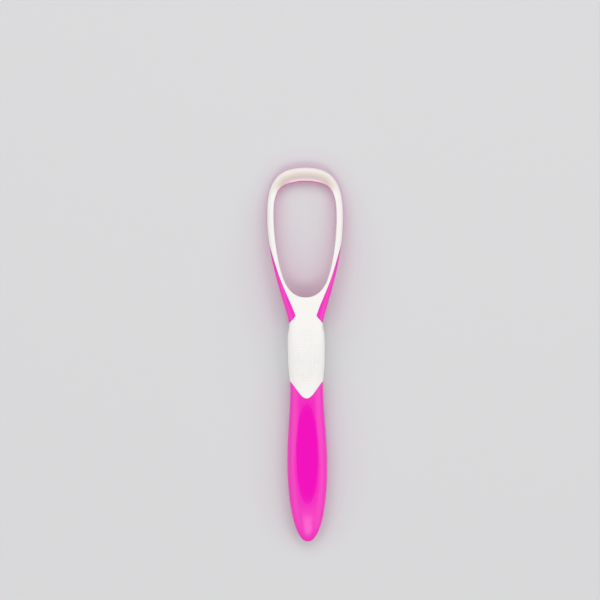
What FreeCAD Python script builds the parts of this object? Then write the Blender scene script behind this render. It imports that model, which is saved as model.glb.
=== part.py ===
import FreeCAD, Part
import math
import os
from FreeCAD import Vector

# Tongue scraper in millimetres. It lies on its back: +Z is the thumb side, the loop points to +Y.
# y = 0 is half way along the tool and z = 0 is the table.

# lengths along the tool, from the tail up
handle_length = 67.0        # tail to the narrow place under the grip
handle_widest = 34.0        # tail to the handle's widest place
mark_start = 15.5           # tail to the flat oval on the handle's front
mark_length = 43.0
grip_length = 26.8          # narrow place under the grip to the narrow place above it
neck_rise = 3.36            # narrow place above the grip to the white's narrowest place
crotch_rise = 11.3          # narrow place above the grip to the bottom of the opening
fork_length = 46.7          # narrow place above the grip to the loop's widest place
crown_length = 20.5         # loop's widest place to its top
total_length = handle_length + grip_length + fork_length + crown_length

# widths seen from the front
handle_width = 17.2
lower_waist_width = 14.2
grip_width = 15.9
upper_waist_width = 14.6
loop_width = 32.7
shoulder_lean = 8.0         # degrees that the fork's sides lean out where they leave the grip
side_band = 2.65            # loop's width at its sides
top_band = 5.15             # rim's width at the loop's top

# depths
handle_depth = 9.2
lower_waist_depth = 7.6
grip_depth = 9.3
upper_waist_depth = 8.0
loop_depth = 6.1
arch_rise = 3.1             # back of the neck above the table
foot_sink = 0.35            # how far the two rest faces cut into the rounded back
scoop_depth = 1.3           # dip of the loop's front below its top edge

# bends of the opening, each with its inset from the opening's widest place
knee_inset = 4.0
knee_rise = 8.0             # above the bottom of the opening
corner_inset = 2.1
corner_drop = 3.6           # below the top of the opening
brow_inset = 4.7
brow_drop = 1.45            # below the top of the opening

# scraping lip of the rigid moulding, inside the rim's top
lip_reach = 1.05            # how far it shows below the rim
lip_root = 1.55             # how far it goes into the frame behind the rim
lip_inset = 3.0             # from the opening's side to the lip's end
lip_sag = 0.75              # its ends below its middle
lip_floor = 0.9             # its back above the table
lip_sink = 0.4              # its front below the white

# soft overmould
neck_width = 8.9            # white at its narrowest
grip_wall = 2.2             # over the tang, front and back
neck_cover = 1.3            # thickness on the neck
rim_cover = 2.0             # thickness on the loop
strip_drop = 13.7           # loop's widest place down to the upper end of the bare strip on each side
strip_tip = 0.14            # width of the bare strip at that end
key_width = 1.0             # groove in the frame that the rim grips
key_depth = 0.9
nib_rise = 3.3              # narrow place under the grip to the pad's lower corner on the edge
nib_length = 8.6            # pad's point below that corner

# tang inside the grip
tang_inset = 0.2            # its side inside the neck's side
tang_root = 6.0             # its length in the handle, below the pad's point
tang_gap = 2.0              # its end below the opening
window_width = 3.4
window_length = 5.0
window_count = 3
window_margin = 3.0         # grip's ends that stay free of windows

# edge roundings
outer_round = 2.2
back_round = 1.5
inner_round = 0.4
tail_cap = 8.0              # degrees of the tail's rounding that its small end face cuts off

# places along y
y_tail = -total_length / 2
y_handle = y_tail + handle_widest
y_low = y_tail + handle_length
y_up = y_low + grip_length
y_neck = y_up + neck_rise
y_crotch = y_up + crotch_rise
y_loop = y_up + fork_length
y_top = y_loop + crown_length
y_rim = y_top - top_band    # top of the opening
y_corner = y_low + nib_rise
y_nib = y_corner - nib_length
y_root = y_low + 0.776 * grip_length    # fork's root inside the grip

# half widths
half_waist = upper_waist_width / 2
half_loop = loop_width / 2
half_open = half_loop - side_band
half_neck = neck_width / 2

# cutting tools reach this far beyond what they cut
reach = loop_width
past = 0.35


def bezier(*points):
    """One Bezier edge through the given control points."""
    curve = Part.BezierCurve()
    curve.setPoles([Vector(*p) for p in points])
    return curve.toShape()


def line(a, b):
    """Straight edge between two places in plan, each (x, y) with or without a heading."""
    return Part.makeLine(Vector(a[0], a[1], 0), Vector(b[0], b[1], 0))


def swing(a, b, lead, tail):
    """Curve in plan from a to b, each (x, y, heading in degrees).

    `lead` and `tail` are the lengths of the curve's two handles as shares of the straight distance.
    """
    (xa, ya, ta), (xb, yb, tb) = a, b
    span = math.hypot(xb - xa, yb - ya)
    ca, sa = math.cos(math.radians(ta)), math.sin(math.radians(ta))
    cb, sb = math.cos(math.radians(tb)), math.sin(math.radians(tb))
    return bezier((xa, ya, 0), (xa + lead * span * ca, ya + lead * span * sa, 0),
                  (xb - tail * span * cb, yb - tail * span * sb, 0), (xb, yb, 0))


def mirrored(edges):
    """Edges and their mirror images in x, as one closed wire."""
    flip = [e.mirror(Vector(0, 0, 0), Vector(1, 0, 0)) for e in edges]
    return Part.Wire(Part.sortEdges(edges + flip)[0])


def upright(wire, low=-reach, high=reach):
    """Solid with the plan outline `wire`."""
    face = Part.Face(wire)
    face.translate(Vector(0, 0, low))
    return face.extrude(Vector(0, 0, high - low))


def eased(anchors, y):
    """Smooth curve through anchors (y, value, slope): a cubic between each two of them."""
    if y <= anchors[0][0]:
        return anchors[0][1] + anchors[0][2] * (y - anchors[0][0])
    for (ya, va, sa), (yb, vb, sb) in zip(anchors, anchors[1:]):
        if y <= yb:
            step = yb - ya
            u = (y - ya) / step
            return (va * (1 + 2 * u) * (1 - u) ** 2 + sa * step * u * (1 - u) ** 2
                    + vb * u * u * (3 - 2 * u) - sb * step * u * u * (1 - u))
    return anchors[-1][1] + anchors[-1][2] * (y - anchors[-1][0])


def half_width(y):
    """Half width of the handle and grip: the grip swells quickly and then runs nearly straight."""
    swell = (grip_width - lower_waist_width) / 2
    return eased([(y_handle, handle_width / 2, 0), (y_low, lower_waist_width / 2, 0),
                  (y_low + 0.37 * grip_length, grip_width / 2 - 0.12 * swell, 0.03),
                  (y_low + 0.8 * grip_length, grip_width / 2, -0.02),
                  (y_up, half_waist, math.tan(math.radians(shoulder_lean)))], y)


def back(y):
    """Height of the back along the middle: two rest faces with the arch between them."""
    return eased([(y_handle, -foot_sink, 0), (y_up, arch_rise, 0), (y_top, -foot_sink, 0)], y)


def depth(y):
    """Depth along the middle: swells of the handle and grip, then the scoop under the loop's top edge."""
    return eased([(y_handle, handle_depth + foot_sink, 0), (y_low, lower_waist_depth, 0),
                  (y_low + 0.6 * grip_length, grip_depth, 0), (y_up, upper_waist_depth, -0.08),
                  (y_loop, loop_depth, 0), (y_top - 1.4 * top_band, loop_depth - scoop_depth, 0),
                  (y_top, loop_depth + foot_sink, 0)], y)


def front(y):
    return back(y) + depth(y)


def cover(y):
    """Thickness of the white on the neck and the loop."""
    return eased([(y_neck, neck_cover, 0), (0.5 * (y_neck + y_loop), rim_cover, 0)], y)


def under_rim(y):
    """Height of the frame's front under the white of the neck and the loop."""
    return front(y) - cover(y)


def tail_turn(y):
    """Angle along the rounded tail, from tail_cap at its small end face to 90 degrees at the widest place."""
    share = min(1.0, (y - y_tail) / handle_widest)
    return math.acos((1 - share) * math.cos(math.radians(tail_cap)))


def crest(y):
    """Height of the front along the middle, with the tail's rounding."""
    mid = 0.5 * (back(y) + front(y))
    return mid + math.sin(tail_turn(y)) * (front(y) - mid)


def strip(height, y0, y1, top):
    """Solid between a height curve z = height(y) and the level `top`, right across x."""
    stations = 15
    ys = [y0 + (y1 - y0) * i / (stations - 1) for i in range(stations)]
    curve = Part.BSplineCurve()
    curve.interpolate([Vector(-reach, y, height(y)) for y in ys])
    corners = [Vector(-reach, y1, height(y1)), Vector(-reach, y1, top), Vector(-reach, y0, top),
               Vector(-reach, y0, height(y0))]
    edges = [Part.makeLine(a, b) for a, b in zip(corners, corners[1:])]
    return Part.Face(Part.Wire([curve.toShape()] + edges)).extrude(Vector(2 * reach, 0, 0))


def above(height):
    """Everything of the fork and loop above the surface z = height(y)."""
    return strip(height, y_root - top_band, y_top + top_band, reach)


def below(height):
    """Everything of the fork and loop below the surface z = height(y)."""
    return strip(height, y_root - top_band, y_top + top_band, -reach)


def section(y, half, low, high, fullness):
    """Rounded cross-section: four Bezier quarters that meet on the parting line and on the middle."""
    mid = 0.5 * (low + high)
    quarters = []
    for side, rim in ((1, high), (-1, high), (-1, low), (1, low)):
        points = [(side * half, y, mid), (side * half, y, mid + fullness * (rim - mid)),
                  (side * half * fullness, y, rim), (0, y, rim)]
        quarters.append(bezier(*(points if side * (rim - mid) > 0 else points[::-1])))
    return Part.Wire(quarters)


def body():
    """Handle and grip as one smooth loft from the rounded tail to the fork.

    The sections are round at the handle and nearly square where the fork starts.
    """
    wires = []
    power = 2.1
    for share in (0.0, 0.03, 0.1, 0.23, 0.41, 0.66):
        y = y_tail + share * handle_widest
        half = handle_width / 2 * (1 - math.cos(tail_turn(y)) ** power) ** (1 / power)
        wires.append(section(y, half, back(y) + front(y) - crest(y), crest(y), 0.60))
    for share in (0.0, 0.33, 0.67):
        y = y_handle + share * (y_low - y_handle)
        wires.append(section(y, half_width(y), back(y), front(y), 0.61))
    for share in (0.0, 0.2, 0.42, 0.64, 0.84, 1.0, 1.16):
        y = y_low + share * grip_length
        wires.append(section(y, half_width(y), back(y), front(y), 0.62 + 0.34 * min(1.0, share) ** 3))
    return Part.makeLoft(wires, True, False).cut(rest_plane()).cut(mark_plane())


def rest_plane():
    """Everything below the table: its top gives the flat rest faces."""
    corner = Vector(-reach, -total_length, -reach)
    return Part.makeBox(2 * reach, 2 * total_length, reach, corner)


def mark_plane():
    """Everything above a plane through two places on the crest: it leaves the flat oval."""
    y0 = y_tail + mark_start
    lean = math.atan((crest(y0 + mark_length) - crest(y0)) / mark_length)
    slab = Part.makeBox(2 * reach, mark_length / math.cos(lean), reach, Vector(-reach, 0, 0))
    slab.rotate(Vector(0, 0, 0), Vector(1, 0, 0), math.degrees(lean))
    slab.translate(Vector(0, y0, crest(y0)))
    return slab


def fork_side():
    """Outer edge of the fork in plan, from the grip to the loop's widest place."""
    return swing((half_waist, y_up, 90 - shoulder_lean), (half_loop, y_loop, 90), 0.170, 0.461)


def half_fork(y):
    """Half width of the fork at y."""
    level = Part.makeLine(Vector(0, y, 0), Vector(reach, y, 0))
    return level.distToShape(fork_side())[1][0][0].x


def head_outline():
    """Plan outline of the fork and the loop, with a root that ends inside the grip."""
    inward = (y_up - y_root) * math.tan(math.radians(shoulder_lean))
    root = (half_waist - inward, y_root)
    crown = swing((half_loop, y_loop, 90), (0, y_top, 180), 0.485, 0.511)
    return mirrored([line((0, y_root), root), line(root, (half_waist, y_up)), fork_side(), crown])


def opening_outline(grow=0.0):
    """Teardrop opening inside the white rim, or the same shape `grow` further out all round."""
    bends = [(0, y_crotch, 0), (half_open - knee_inset, y_crotch + knee_rise, 70), (half_open, y_loop - 1, 90),
             (half_open - corner_inset, y_rim - corner_drop, 108), (half_open - brow_inset, y_rim - brow_drop, 162),
             (0, y_rim, 180)]
    leads = [(0.446, 0.304), (0.247, 0.337), (0.464, 0.22), (0.5, 0.375), (0.347, 0.307)]
    places = [(x + grow * math.sin(math.radians(t)), y - grow * math.cos(math.radians(t)), t) for x, y, t in bends]
    return mirrored([swing(a, b, *lead) for a, b, lead in zip(places, places[1:], leads)])


def grip_zone():
    """Plan area that the white grip takes up right through: leaf point below, shoulders above."""
    edge = 2 * half_waist
    corner = (half_width(y_corner) + past, y_corner, 35)
    far = (edge, y_corner + 0.2 * edge)
    shoulder = (edge, y_neck - 1.14 * (edge - half_neck))
    neck = (half_neck, y_neck)
    return upright(mirrored([swing((0, y_nib, 0), corner, 0.196, 0.319), line(corner, far), line(far, shoulder),
                             line(shoulder, neck), line(neck, (0, y_neck))]))


def rim_zone():
    """Where the white covers the front of the neck and the loop."""
    overlap = (half_neck, y_neck - neck_cover)
    start = (half_neck, y_neck, 71)
    tip = (half_fork(y_loop - strip_drop) - strip_tip, y_loop - strip_drop, 75)
    side = (reach, tip[1])
    top = (reach, y_top + top_band)
    area = upright(mirrored([line((0, overlap[1]), overlap), line(overlap, start), swing(start, tip, 0.289, 0.561),
                             line(tip, side), line(side, top), line(top, (0, top[1]))]))
    return area.common(above(under_rim))


def key_zone():
    """Groove in the frame under the rim, at an even distance around the opening."""
    near = 0.5 * (side_band - key_width)
    groove = upright(opening_outline(near + key_width)).cut(upright(opening_outline(near)))
    return groove.common(above(lambda y: under_rim(y) - key_depth)).common(below(lambda y: under_rim(y) + past))


def follows(edge, height):
    """True for an edge that lies on the surface z = height(y) and isn't the root's end."""
    points = edge.discretize(9)
    at_root = max(abs(p.y - y_root) for p in points) < 0.01
    return not at_root and all(abs(p.z - height(p.y)) < 0.05 for p in points)


def inside_opening(edge):
    """True for an edge on the wall of the opening."""
    outline = opening_outline()
    spots = [Part.Vertex(Vector(p.x, p.y, 0)) for p in edge.discretize(9)]
    return all(outline.distToShape(spot)[0] < 0.02 for spot in spots)


def head():
    """Fork and loop in one lump, rounded, before the white is parted from the magenta."""
    lump = upright(head_outline()).common(below(front)).common(above(back))
    lump = lump.makeFillet(outer_round, [e for e in lump.Edges if follows(e, front)])
    lump = lump.makeFillet(back_round, [e for e in lump.Edges if follows(e, back)])
    lump = lump.cut(upright(opening_outline()))
    mouth = [e for e in lump.Edges if inside_opening(e) and (follows(e, front) or follows(e, back))]
    return lump.makeFillet(inner_round, mouth).cut(rest_plane())


def tang():
    """Bar of the rigid moulding inside the grip, with windows that the white fills."""
    half = half_neck - tang_inset
    y0 = y_nib - tang_root
    y1 = y_crotch - tang_gap
    bar = Part.makeBox(2 * half, y1 - y0, 2 * reach, Vector(-half, y0, -reach))
    bar = bar.common(strip(lambda y: front(y) - grip_wall, y0 - past, y1 + past, -reach))
    bar = bar.common(strip(lambda y: back(y) + grip_wall, y0 - past, y1 + past, reach))
    pitch = (grip_length - 2 * window_margin) / window_count
    for i in range(window_count):
        y = y_low + window_margin + (i + 0.5) * pitch
        corner = Vector(-window_width / 2, y - window_length / 2, -reach)
        bar = bar.cut(Part.makeBox(window_width, window_length, 2 * reach, corner))
    return bar


def lip():
    """Thin rigid scraping edge that stands inside the rim's top, between two arcs."""
    span = half_open - lip_inset
    inner = span - lip_reach
    low = y_rim - lip_reach
    high = y_rim + lip_root
    edge = Part.Arc(Vector(-span, low - lip_sag, 0), Vector(0, low, 0), Vector(span, low - lip_sag, 0))
    root = Part.Arc(Vector(inner, high - lip_sag, 0), Vector(0, high, 0), Vector(-inner, high - lip_sag, 0))
    wire = Part.Wire([edge.toShape(), line((span, low - lip_sag), (inner, high - lip_sag)), root.toShape(),
                      line((-inner, high - lip_sag), (-span, low - lip_sag))])
    return upright(wire, lip_floor, loop_depth - rim_cover - lip_sink)


lower = body()
upper = head()
grip = grip_zone()
rim = rim_zone().fuse(key_zone())
bar = tang()

soft = lower.common(grip).cut(bar).fuse(upper.common(rim))
frame = lower.cut(grip).fuse([bar, lip(), upper.cut(grip)]).cut(rim)

os.makedirs("parts", exist_ok=True)
for name, shape in (("handle_frame", frame), ("soft_grip_rim", soft)):
    solids = shape.Solids
    print(name, len(solids), "solid", solids[0].isValid(), round(solids[0].Volume, 1), "mm3")
    solids[0].exportStep("parts/" + name + ".step")
print("overlap", round(frame.common(soft).Volume, 4), "mm3")
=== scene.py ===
# %% [markdown]
# A tongue scraper of two mouldings: a rigid magenta one (handle, fork and loop) and a soft white one over
# it (rim, neck and thumb pad). The CAD model gives the frame: its sizes, its places and what the tool
# weighs. Here both mouldings are made again as smooth surfaces, with rolled seams, nubs and finishes.

# %% Load the frame
import math
import bmesh
import bpy
import numpy as np
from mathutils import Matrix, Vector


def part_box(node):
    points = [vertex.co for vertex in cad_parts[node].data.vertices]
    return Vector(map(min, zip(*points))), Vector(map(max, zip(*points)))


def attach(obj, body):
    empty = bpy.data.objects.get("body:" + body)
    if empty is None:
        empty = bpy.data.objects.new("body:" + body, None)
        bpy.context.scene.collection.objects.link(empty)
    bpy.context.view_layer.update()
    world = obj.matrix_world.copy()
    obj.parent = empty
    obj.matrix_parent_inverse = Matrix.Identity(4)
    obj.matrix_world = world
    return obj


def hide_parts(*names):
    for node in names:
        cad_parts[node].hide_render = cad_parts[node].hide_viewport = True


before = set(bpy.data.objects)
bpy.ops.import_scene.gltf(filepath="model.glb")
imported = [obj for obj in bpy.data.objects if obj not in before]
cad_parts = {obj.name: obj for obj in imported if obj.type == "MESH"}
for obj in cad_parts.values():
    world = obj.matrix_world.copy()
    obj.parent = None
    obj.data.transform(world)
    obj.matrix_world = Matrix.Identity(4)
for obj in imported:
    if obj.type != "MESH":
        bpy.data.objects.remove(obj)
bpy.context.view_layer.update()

MM = 0.001

# %% [markdown]
# The tool lies on its back with the loop towards +Y. Its ends, its widest place and the pad's point come
# from the frame. The other sizes are this model's own, in millimetres, and curves drawn from them follow
# the solids.

# %% Sizes in millimetres
frame_low, frame_high = (np.array(corner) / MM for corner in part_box("handle_frame"))
soft_low = np.array(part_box("soft_grip_rim")[0]) / MM
y_tail, y_top, half_loop, y_nib = frame_low[1], frame_high[1], frame_high[0], soft_low[1]

# Lengths along the tool
handle_length, handle_widest, grip_length, fork_length = 67.0, 34.0, 26.8, 46.7
neck_rise, crotch_rise, nib_length = 3.36, 11.3, 7.7

# Widths across it, and of the rim at the loop's sides and top
handle_width, lower_waist_width, grip_width = 17.2, 14.2, 15.9
upper_waist_width, neck_width = 14.6, 8.9
side_band, top_band = 2.8, 5.75

# Places named by what is there
y_handle = y_tail + handle_widest
y_low = y_tail + handle_length
y_up = y_low + grip_length
y_neck = y_up + neck_rise
y_crotch = y_up + crotch_rise
y_loop = y_up + fork_length
y_rim = y_top - top_band
y_corner = y_nib + nib_length
half_waist, half_open, half_neck = upper_waist_width / 2, half_loop - side_band, neck_width / 2
print("pad from y", round(y_nib, 1), "to", round(y_neck, 1), "mm")
print("opening", round(y_rim - y_crotch, 1), "mm long and", round(2 * half_open, 1), "mm wide")

# %% [markdown]
# Along its length the tool is a few gentle swells. They could be drawn as curve objects and bevelled, but
# then their widths would be hard to measure. A cubic through named places, with the slope at each place,
# gives such a swell with no bumps, and it works on a whole array of places at once.

# %% Curves from named places
def eased(anchors, y):
    """Curve through anchors (y, value, slope): a cubic between each two, straight beyond the ends."""
    ya, va, sa = (np.array(column, float) for column in zip(*anchors))
    i = np.clip(np.searchsorted(ya, y, side="right") - 1, 0, len(ya) - 2)
    step = ya[i + 1] - ya[i]
    u = np.clip((y - ya[i]) / step, 0, 1)
    inside = (va[i] * (1 + 2 * u) * (1 - u) ** 2 + sa[i] * step * u * (1 - u) ** 2
              + va[i + 1] * u * u * (3 - 2 * u) - sa[i + 1] * step * u * u * (1 - u))
    return inside + sa[0] * np.minimum(y - ya[0], 0) + sa[-1] * np.maximum(y - ya[-1], 0)


def ramp(value, low, high):
    """0 below `low`, 1 above `high`, and the smooth S u^2 (3 - 2 u) between them."""
    u = np.clip((value - low) / (high - low), 0, 1)
    return u * u * (3 - 2 * u)


print("a ramp at a quarter and at half:", ramp(np.array([0.25, 0.5]), 0, 1))

# %% [markdown]
# Seen from the front, the handle swells to a rounded tail and narrows to a waist, and the grip swells
# again. A moulded handle is drawn this way so that the palm and the thumb each find their place.

# %% Half width
shoulder_lean = 8.0
shoulder_slope = math.tan(math.radians(shoulder_lean))
swell_start, swell_start_slope, swell_start_lack = 0.37, 0.03, 0.12
swell_end, swell_end_slope = 0.8, -0.02
tail_power, tail_root = 2.1, 2.2


def tail_cosine(y):
    """Cosine of the angle along the rounded tail: 1 at its end and 0 at the handle's widest place."""
    return np.clip(1 - (y - y_tail) / handle_widest, 0, 1)


def half_width(y):
    """Half width of handle and grip: the swells, times a tail rounded like a superellipse."""
    swell = (grip_width - lower_waist_width) / 2
    half_start = grip_width / 2 - swell_start_lack * swell
    wide = eased([(y_handle, handle_width / 2, 0), (y_low, lower_waist_width / 2, 0),
                  (y_low + swell_start * grip_length, half_start, swell_start_slope),
                  (y_low + swell_end * grip_length, grip_width / 2, swell_end_slope),
                  (y_up, half_waist, shoulder_slope)], y)
    return wide * (1 - tail_cosine(y) ** tail_power) ** (1 / tail_root)


print("half width at handle, waist and grip:", np.round(half_width(np.array([y_handle, y_low, 0])), 2))

# %% [markdown]
# From the side the tool is a shallow arch: it rests on the handle and on the loop's top, with the neck
# between them off the table. The front follows the back at a changing depth, and is scooped out below the
# loop's top.

# %% Back, front and depth
handle_depth, lower_waist_depth, grip_depth = 9.2, 7.6, 9.3
upper_waist_depth, loop_depth = 8.0, 6.1
arch_rise, foot_sink = 3.1, 0.35
scoop_depth, scoop_place = 1.3, 7.2
deepest_grip, neck_taper = 0.6, -0.08
neck_cover, rim_cover = 1.3, 2.0


def back(y):
    """Height of the back along the middle: two rest places with an arch between them."""
    return eased([(y_handle, -foot_sink, 0), (y_up, arch_rise, 0), (y_top, -foot_sink, 0)], y)


def depth(y):
    """Depth along the middle: handle, waist, grip, neck, and the scoop under the loop's top edge."""
    return eased([(y_handle, handle_depth + foot_sink, 0), (y_low, lower_waist_depth, 0),
                  (y_low + deepest_grip * grip_length, grip_depth, 0),
                  (y_up, upper_waist_depth, neck_taper), (y_loop, loop_depth, 0),
                  (y_top - scoop_place, loop_depth - scoop_depth, 0),
                  (y_top, loop_depth + foot_sink, 0)], y)


def front(y):
    """Height of the front along the middle: the back's height plus the depth."""
    return back(y) + depth(y)


def middle(y):
    """Height halfway between back and front."""
    return 0.5 * (back(y) + front(y))


def half_depth(y):
    """Half the depth, times the sine of the angle along the rounded tail."""
    return 0.5 * depth(y) * np.sqrt(1 - tail_cosine(y) ** 2)


def under_rim(y):
    """Height of the rigid moulding under the white: the front less a cover that thickens up the loop."""
    return front(y) - eased([(y_neck, neck_cover, 0), (0.5 * (y_neck + y_loop), rim_cover, 0)], y)


print("front at the widest handle, grip and loop:", np.round(front(np.array([y_handle, 0.0, y_loop])), 2))

# %% [markdown]
# Handle and grip share one rounded cross-section. A plain ellipse would be too thin at the shoulders. So
# each quarter is a Bezier curve from the side to the crest, and one number, its fullness, takes it from
# an oval at the handle to a rounded box at the fork.

# %% Cross-section of handle and grip
oval_fullness, box_fullness = 0.61, 0.96


def quarter(t, full):
    """Bezier quarter at t, 0 at the side and 1 at the crest: shares of the half width and half depth.

    With s = 1 - t the width is s^3 + 3 s^2 t + 3 s t^2 full, and the depth is that with s and t exchanged.
    """
    s = 1 - t
    across = s ** 3 + 3 * s * s * t + 3 * s * t * t * full
    up = 3 * s * s * t * full + 3 * s * t * t + t ** 3
    return across, up


def fullness(y):
    """Fullness of the section at y: that of an oval up to the grip, then a cubic rise to a rounded box."""
    return oval_fullness + (box_fullness - oval_fullness) * np.clip((y - y_low) / grip_length, 0, 1) ** 3


def share_across(x, half, full):
    """Quarter's t at a distance x from the middle, found by halving the range of t forty times."""
    shape = np.broadcast(x, half, full).shape
    low, high = np.zeros(shape), np.ones(shape)
    for _ in range(40):
        t = 0.5 * (low + high)
        wide = quarter(t, full)[0] * half > x
        low, high = np.where(wide, t, low), np.where(wide, high, t)
    return 0.5 * (low + high)


print("fullness at the handle and the fork:", np.round(fullness(np.array([y_handle, y_up])), 2))

# %% [markdown]
# The handle's front is cut by a long flat oval, and its back by the flat that it rests on. Booleans could
# cut both, with hard edges and a torn grid. On a real mould the edges are broken a little, so each cut
# here is a smooth minimum in the height itself, and the oval is very slightly hollow.

# %% Flats on the handle
mark_start, mark_length, mark_dip = 14.8, 46.0, 0.2
mark_edge, mark_fade, foot_edge = 0.3, 9.0, 0.04
y_mark, y_mark_end = y_tail + mark_start, y_tail + mark_start + mark_length


def oval_plane(y):
    """Height of the oval: the straight line through the crest at its two ends, less a shallow parabola."""
    low, high = (middle(end) + half_depth(end) for end in (y_mark, y_mark_end))
    share = (y - y_mark) / mark_length
    return low + (high - low) * share - 4 * mark_dip * share * (1 - share)


def body_point(side, lift, t, y):
    """Point of the section at y: the quarter (side, lift) at t, with rest face and oval cut off.

    Each cut is a smooth minimum or maximum: edge * log(1 + exp(overlap / edge)) stands for the overlap.
    """
    across, up = quarter(t, fullness(y))
    z = middle(y) + lift * half_depth(y) * up
    above_oval = mark_edge * np.logaddexp(0, (z - oval_plane(y)) / mark_edge)
    z = z - above_oval * (1 - ramp(y, y_mark_end, y_mark_end + mark_fade))
    z = foot_edge * np.logaddexp(0, z / foot_edge)
    return np.stack(np.broadcast_arrays(side * half_width(y) * across, y, z), axis=-1)


print("oval's height at its ends:", np.round(oval_plane(np.array([y_mark, y_mark_end])), 2))

# %% [markdown]
# The points of each section lie on columns that run along the tool. Across the neck they are evenly
# spaced from side to side, because there the rim takes over the same points, and further out by even
# lengths.

# %% Columns round the handle
seam_steps, side_steps, fine_steps = 20, 34, 2000
seam_x = np.linspace(0, half_neck, seam_steps + 1)


def even_quarter():
    """Places t round a quarter: even steps in x across the neck, then even lengths down to the side."""
    half, full = half_width(y_neck), fullness(y_neck)
    seam = share_across(seam_x, half, full)
    t = np.linspace(seam[-1], 0, fine_steps + 1)
    across, up = quarter(t, full)
    length = np.concatenate([[0], np.cumsum(np.hypot(np.diff(across * half), np.diff(up * half / 2)))])
    return np.concatenate([seam, np.interp(np.linspace(0, length[-1], side_steps + 1), length, t)[1:]])


ts = even_quarter()
sides = np.concatenate([np.ones(2 * len(ts) - 1), -np.ones(2 * len(ts) - 3)])
lifts = np.concatenate([np.ones(len(ts)), -np.ones(2 * len(ts) - 2), np.ones(len(ts) - 2)])
around = np.concatenate([ts, ts[::-1][1:], ts[1:], ts[::-1][1:-1]])
print("columns round the handle:", len(around))

# %% [markdown]
# In plan the fork, the loop and its opening are drawn with a few swinging curves. Each is a cubic from
# one place to the next that leaves and arrives at a given heading, which is how a designer sketches such
# a teardrop.

# %% Tools for plan curves
def swing(a, b, lead, tail, count=160):
    """Bezier from a to b, each (x, y, heading in degrees), with handles that are shares of the distance."""
    a, b = np.array(a, float), np.array(b, float)
    span = np.hypot(*(b - a)[:2])
    turn = np.radians([a[2], b[2]])
    handle_a = a[:2] + lead * span * np.array([np.cos(turn[0]), np.sin(turn[0])])
    handle_b = b[:2] - tail * span * np.array([np.cos(turn[1]), np.sin(turn[1])])
    t = np.linspace(0, 1, count)[:, None]
    s = 1 - t
    return s ** 3 * a[:2] + 3 * s * s * t * handle_a + 3 * s * t * t * handle_b + t ** 3 * b[:2]


def joined(*curves):
    """One polyline from curves that follow each other, without the doubled corners."""
    return np.concatenate([curves[0]] + [c[1:] for c in curves[1:]])


def lengths(points):
    """Distance along a polyline at each of its points: the sum of the steps up to it."""
    return np.concatenate([[0], np.cumsum(np.hypot(*np.diff(points, axis=0).T))])


def along(points, where):
    """Points of a polyline at the given distances along it, straight between its own points."""
    s = lengths(points)
    return np.stack([np.interp(where, s, points[:, 0]), np.interp(where, s, points[:, 1])], axis=-1)


def leftward(points, where, reach):
    """Unit direction to the left of a polyline: its step over 2 `reach`, turned by 90 degrees."""
    step = along(points, where + reach) - along(points, where - reach)
    return np.stack([-step[:, 1], step[:, 0]], axis=-1) / np.hypot(*step.T)[:, None]


def nearest(points, curve):
    """Nearest place on a polyline for each point: the foot on every straight bit, then the closest foot."""
    a, step = curve[:-1], np.diff(curve, axis=0)
    offset = points[:, None] - a[None]
    u = np.clip((offset * step).sum(-1) / (step * step).sum(-1), 0, 1)
    feet = a + u[..., None] * step
    best = ((points[:, None] - feet) ** 2).sum(-1).argmin(1)
    return feet[np.arange(len(points)), best]


print("a swing straight up 10 mm is", lengths(swing((0, 0, 90), (0, 10, 90), 0.3, 0.3))[-1], "mm long")

# %% [markdown]
# Four curves draw the right half of the head: its outline, the opening, the edge of the bare magenta
# strip that runs up the fork, and the shoulder where the pad's white falls away beside the neck.

# %% Plan of the head
root_drop = 6
root = (half_waist - root_drop * shoulder_slope, y_up - root_drop)
fork_side = swing((half_waist, y_up, 90 - shoulder_lean), (half_loop, y_loop, 90), 0.170, 0.461, 400)
crown = swing((half_loop, y_loop, 90), (0, y_top, 180), 0.485, 0.511, 300)
lower_outline = joined(np.linspace(root, fork_side[0], 40), fork_side)
outline = joined(lower_outline, crown)

bends = [(0, y_crotch, 0), (half_open - 4.0, y_crotch + 8.0, 70), (half_open, y_loop - 1, 90),
         (half_open - 1.2, y_rim - 5.65, 110), (half_open - 3.65, y_rim - 2.35, 145), (0, y_rim, 180)]
leads = [(0.446, 0.304), (0.247, 0.337), (0.40, 0.33), (0.33, 0.33), (0.33, 0.33)]
opening = joined(*[swing(a, b, *lead) for a, b, lead in zip(bends, bends[1:], leads)])

strip_end, tip_inset, shoulder_fall = 13.7, 0.14, 1.14
strip_top = y_loop - strip_end
strip_tip = np.interp(strip_top, fork_side[:, 1], fork_side[:, 0]) - tip_inset
strip_edge = swing((half_neck, y_neck, 71), (strip_tip, strip_top, 75), 0.289, 0.561)


def outline_half(y):
    """Half width of the outline at y, up to the loop's widest place."""
    return np.interp(y, lower_outline[:, 1], lower_outline[:, 0])


def shoulder_edge(x):
    """Pad's upper edge, y at a distance x from the middle: level across the neck, then a straight fall."""
    return y_neck - shoulder_fall * np.maximum(x - half_neck, 0)


half_lengths = [round(float(lengths(curve)[-1]), 1) for curve in (outline, opening)]
print("half outline and half opening:", half_lengths, "mm")

# %% [markdown]
# The head is carried round on columns of its own. Each starts from a point on the white's edge, which
# runs straight across the neck, up the bare strip and then just inside the outline. The points lie closer
# together beside the neck and at the strip's tip, where the shape changes fastest.

# %% The white's edge
least_inset, inset_fade, probe = 0.004, 0.9, 0.01
edge_steps, way_steps, upper_points = 240, 4000, 500
wide_step, neck_closer, tip_closer = 0.45, 0.30, 0.25
neck_from, neck_to, tip_reach = 3, 9, 3


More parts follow.
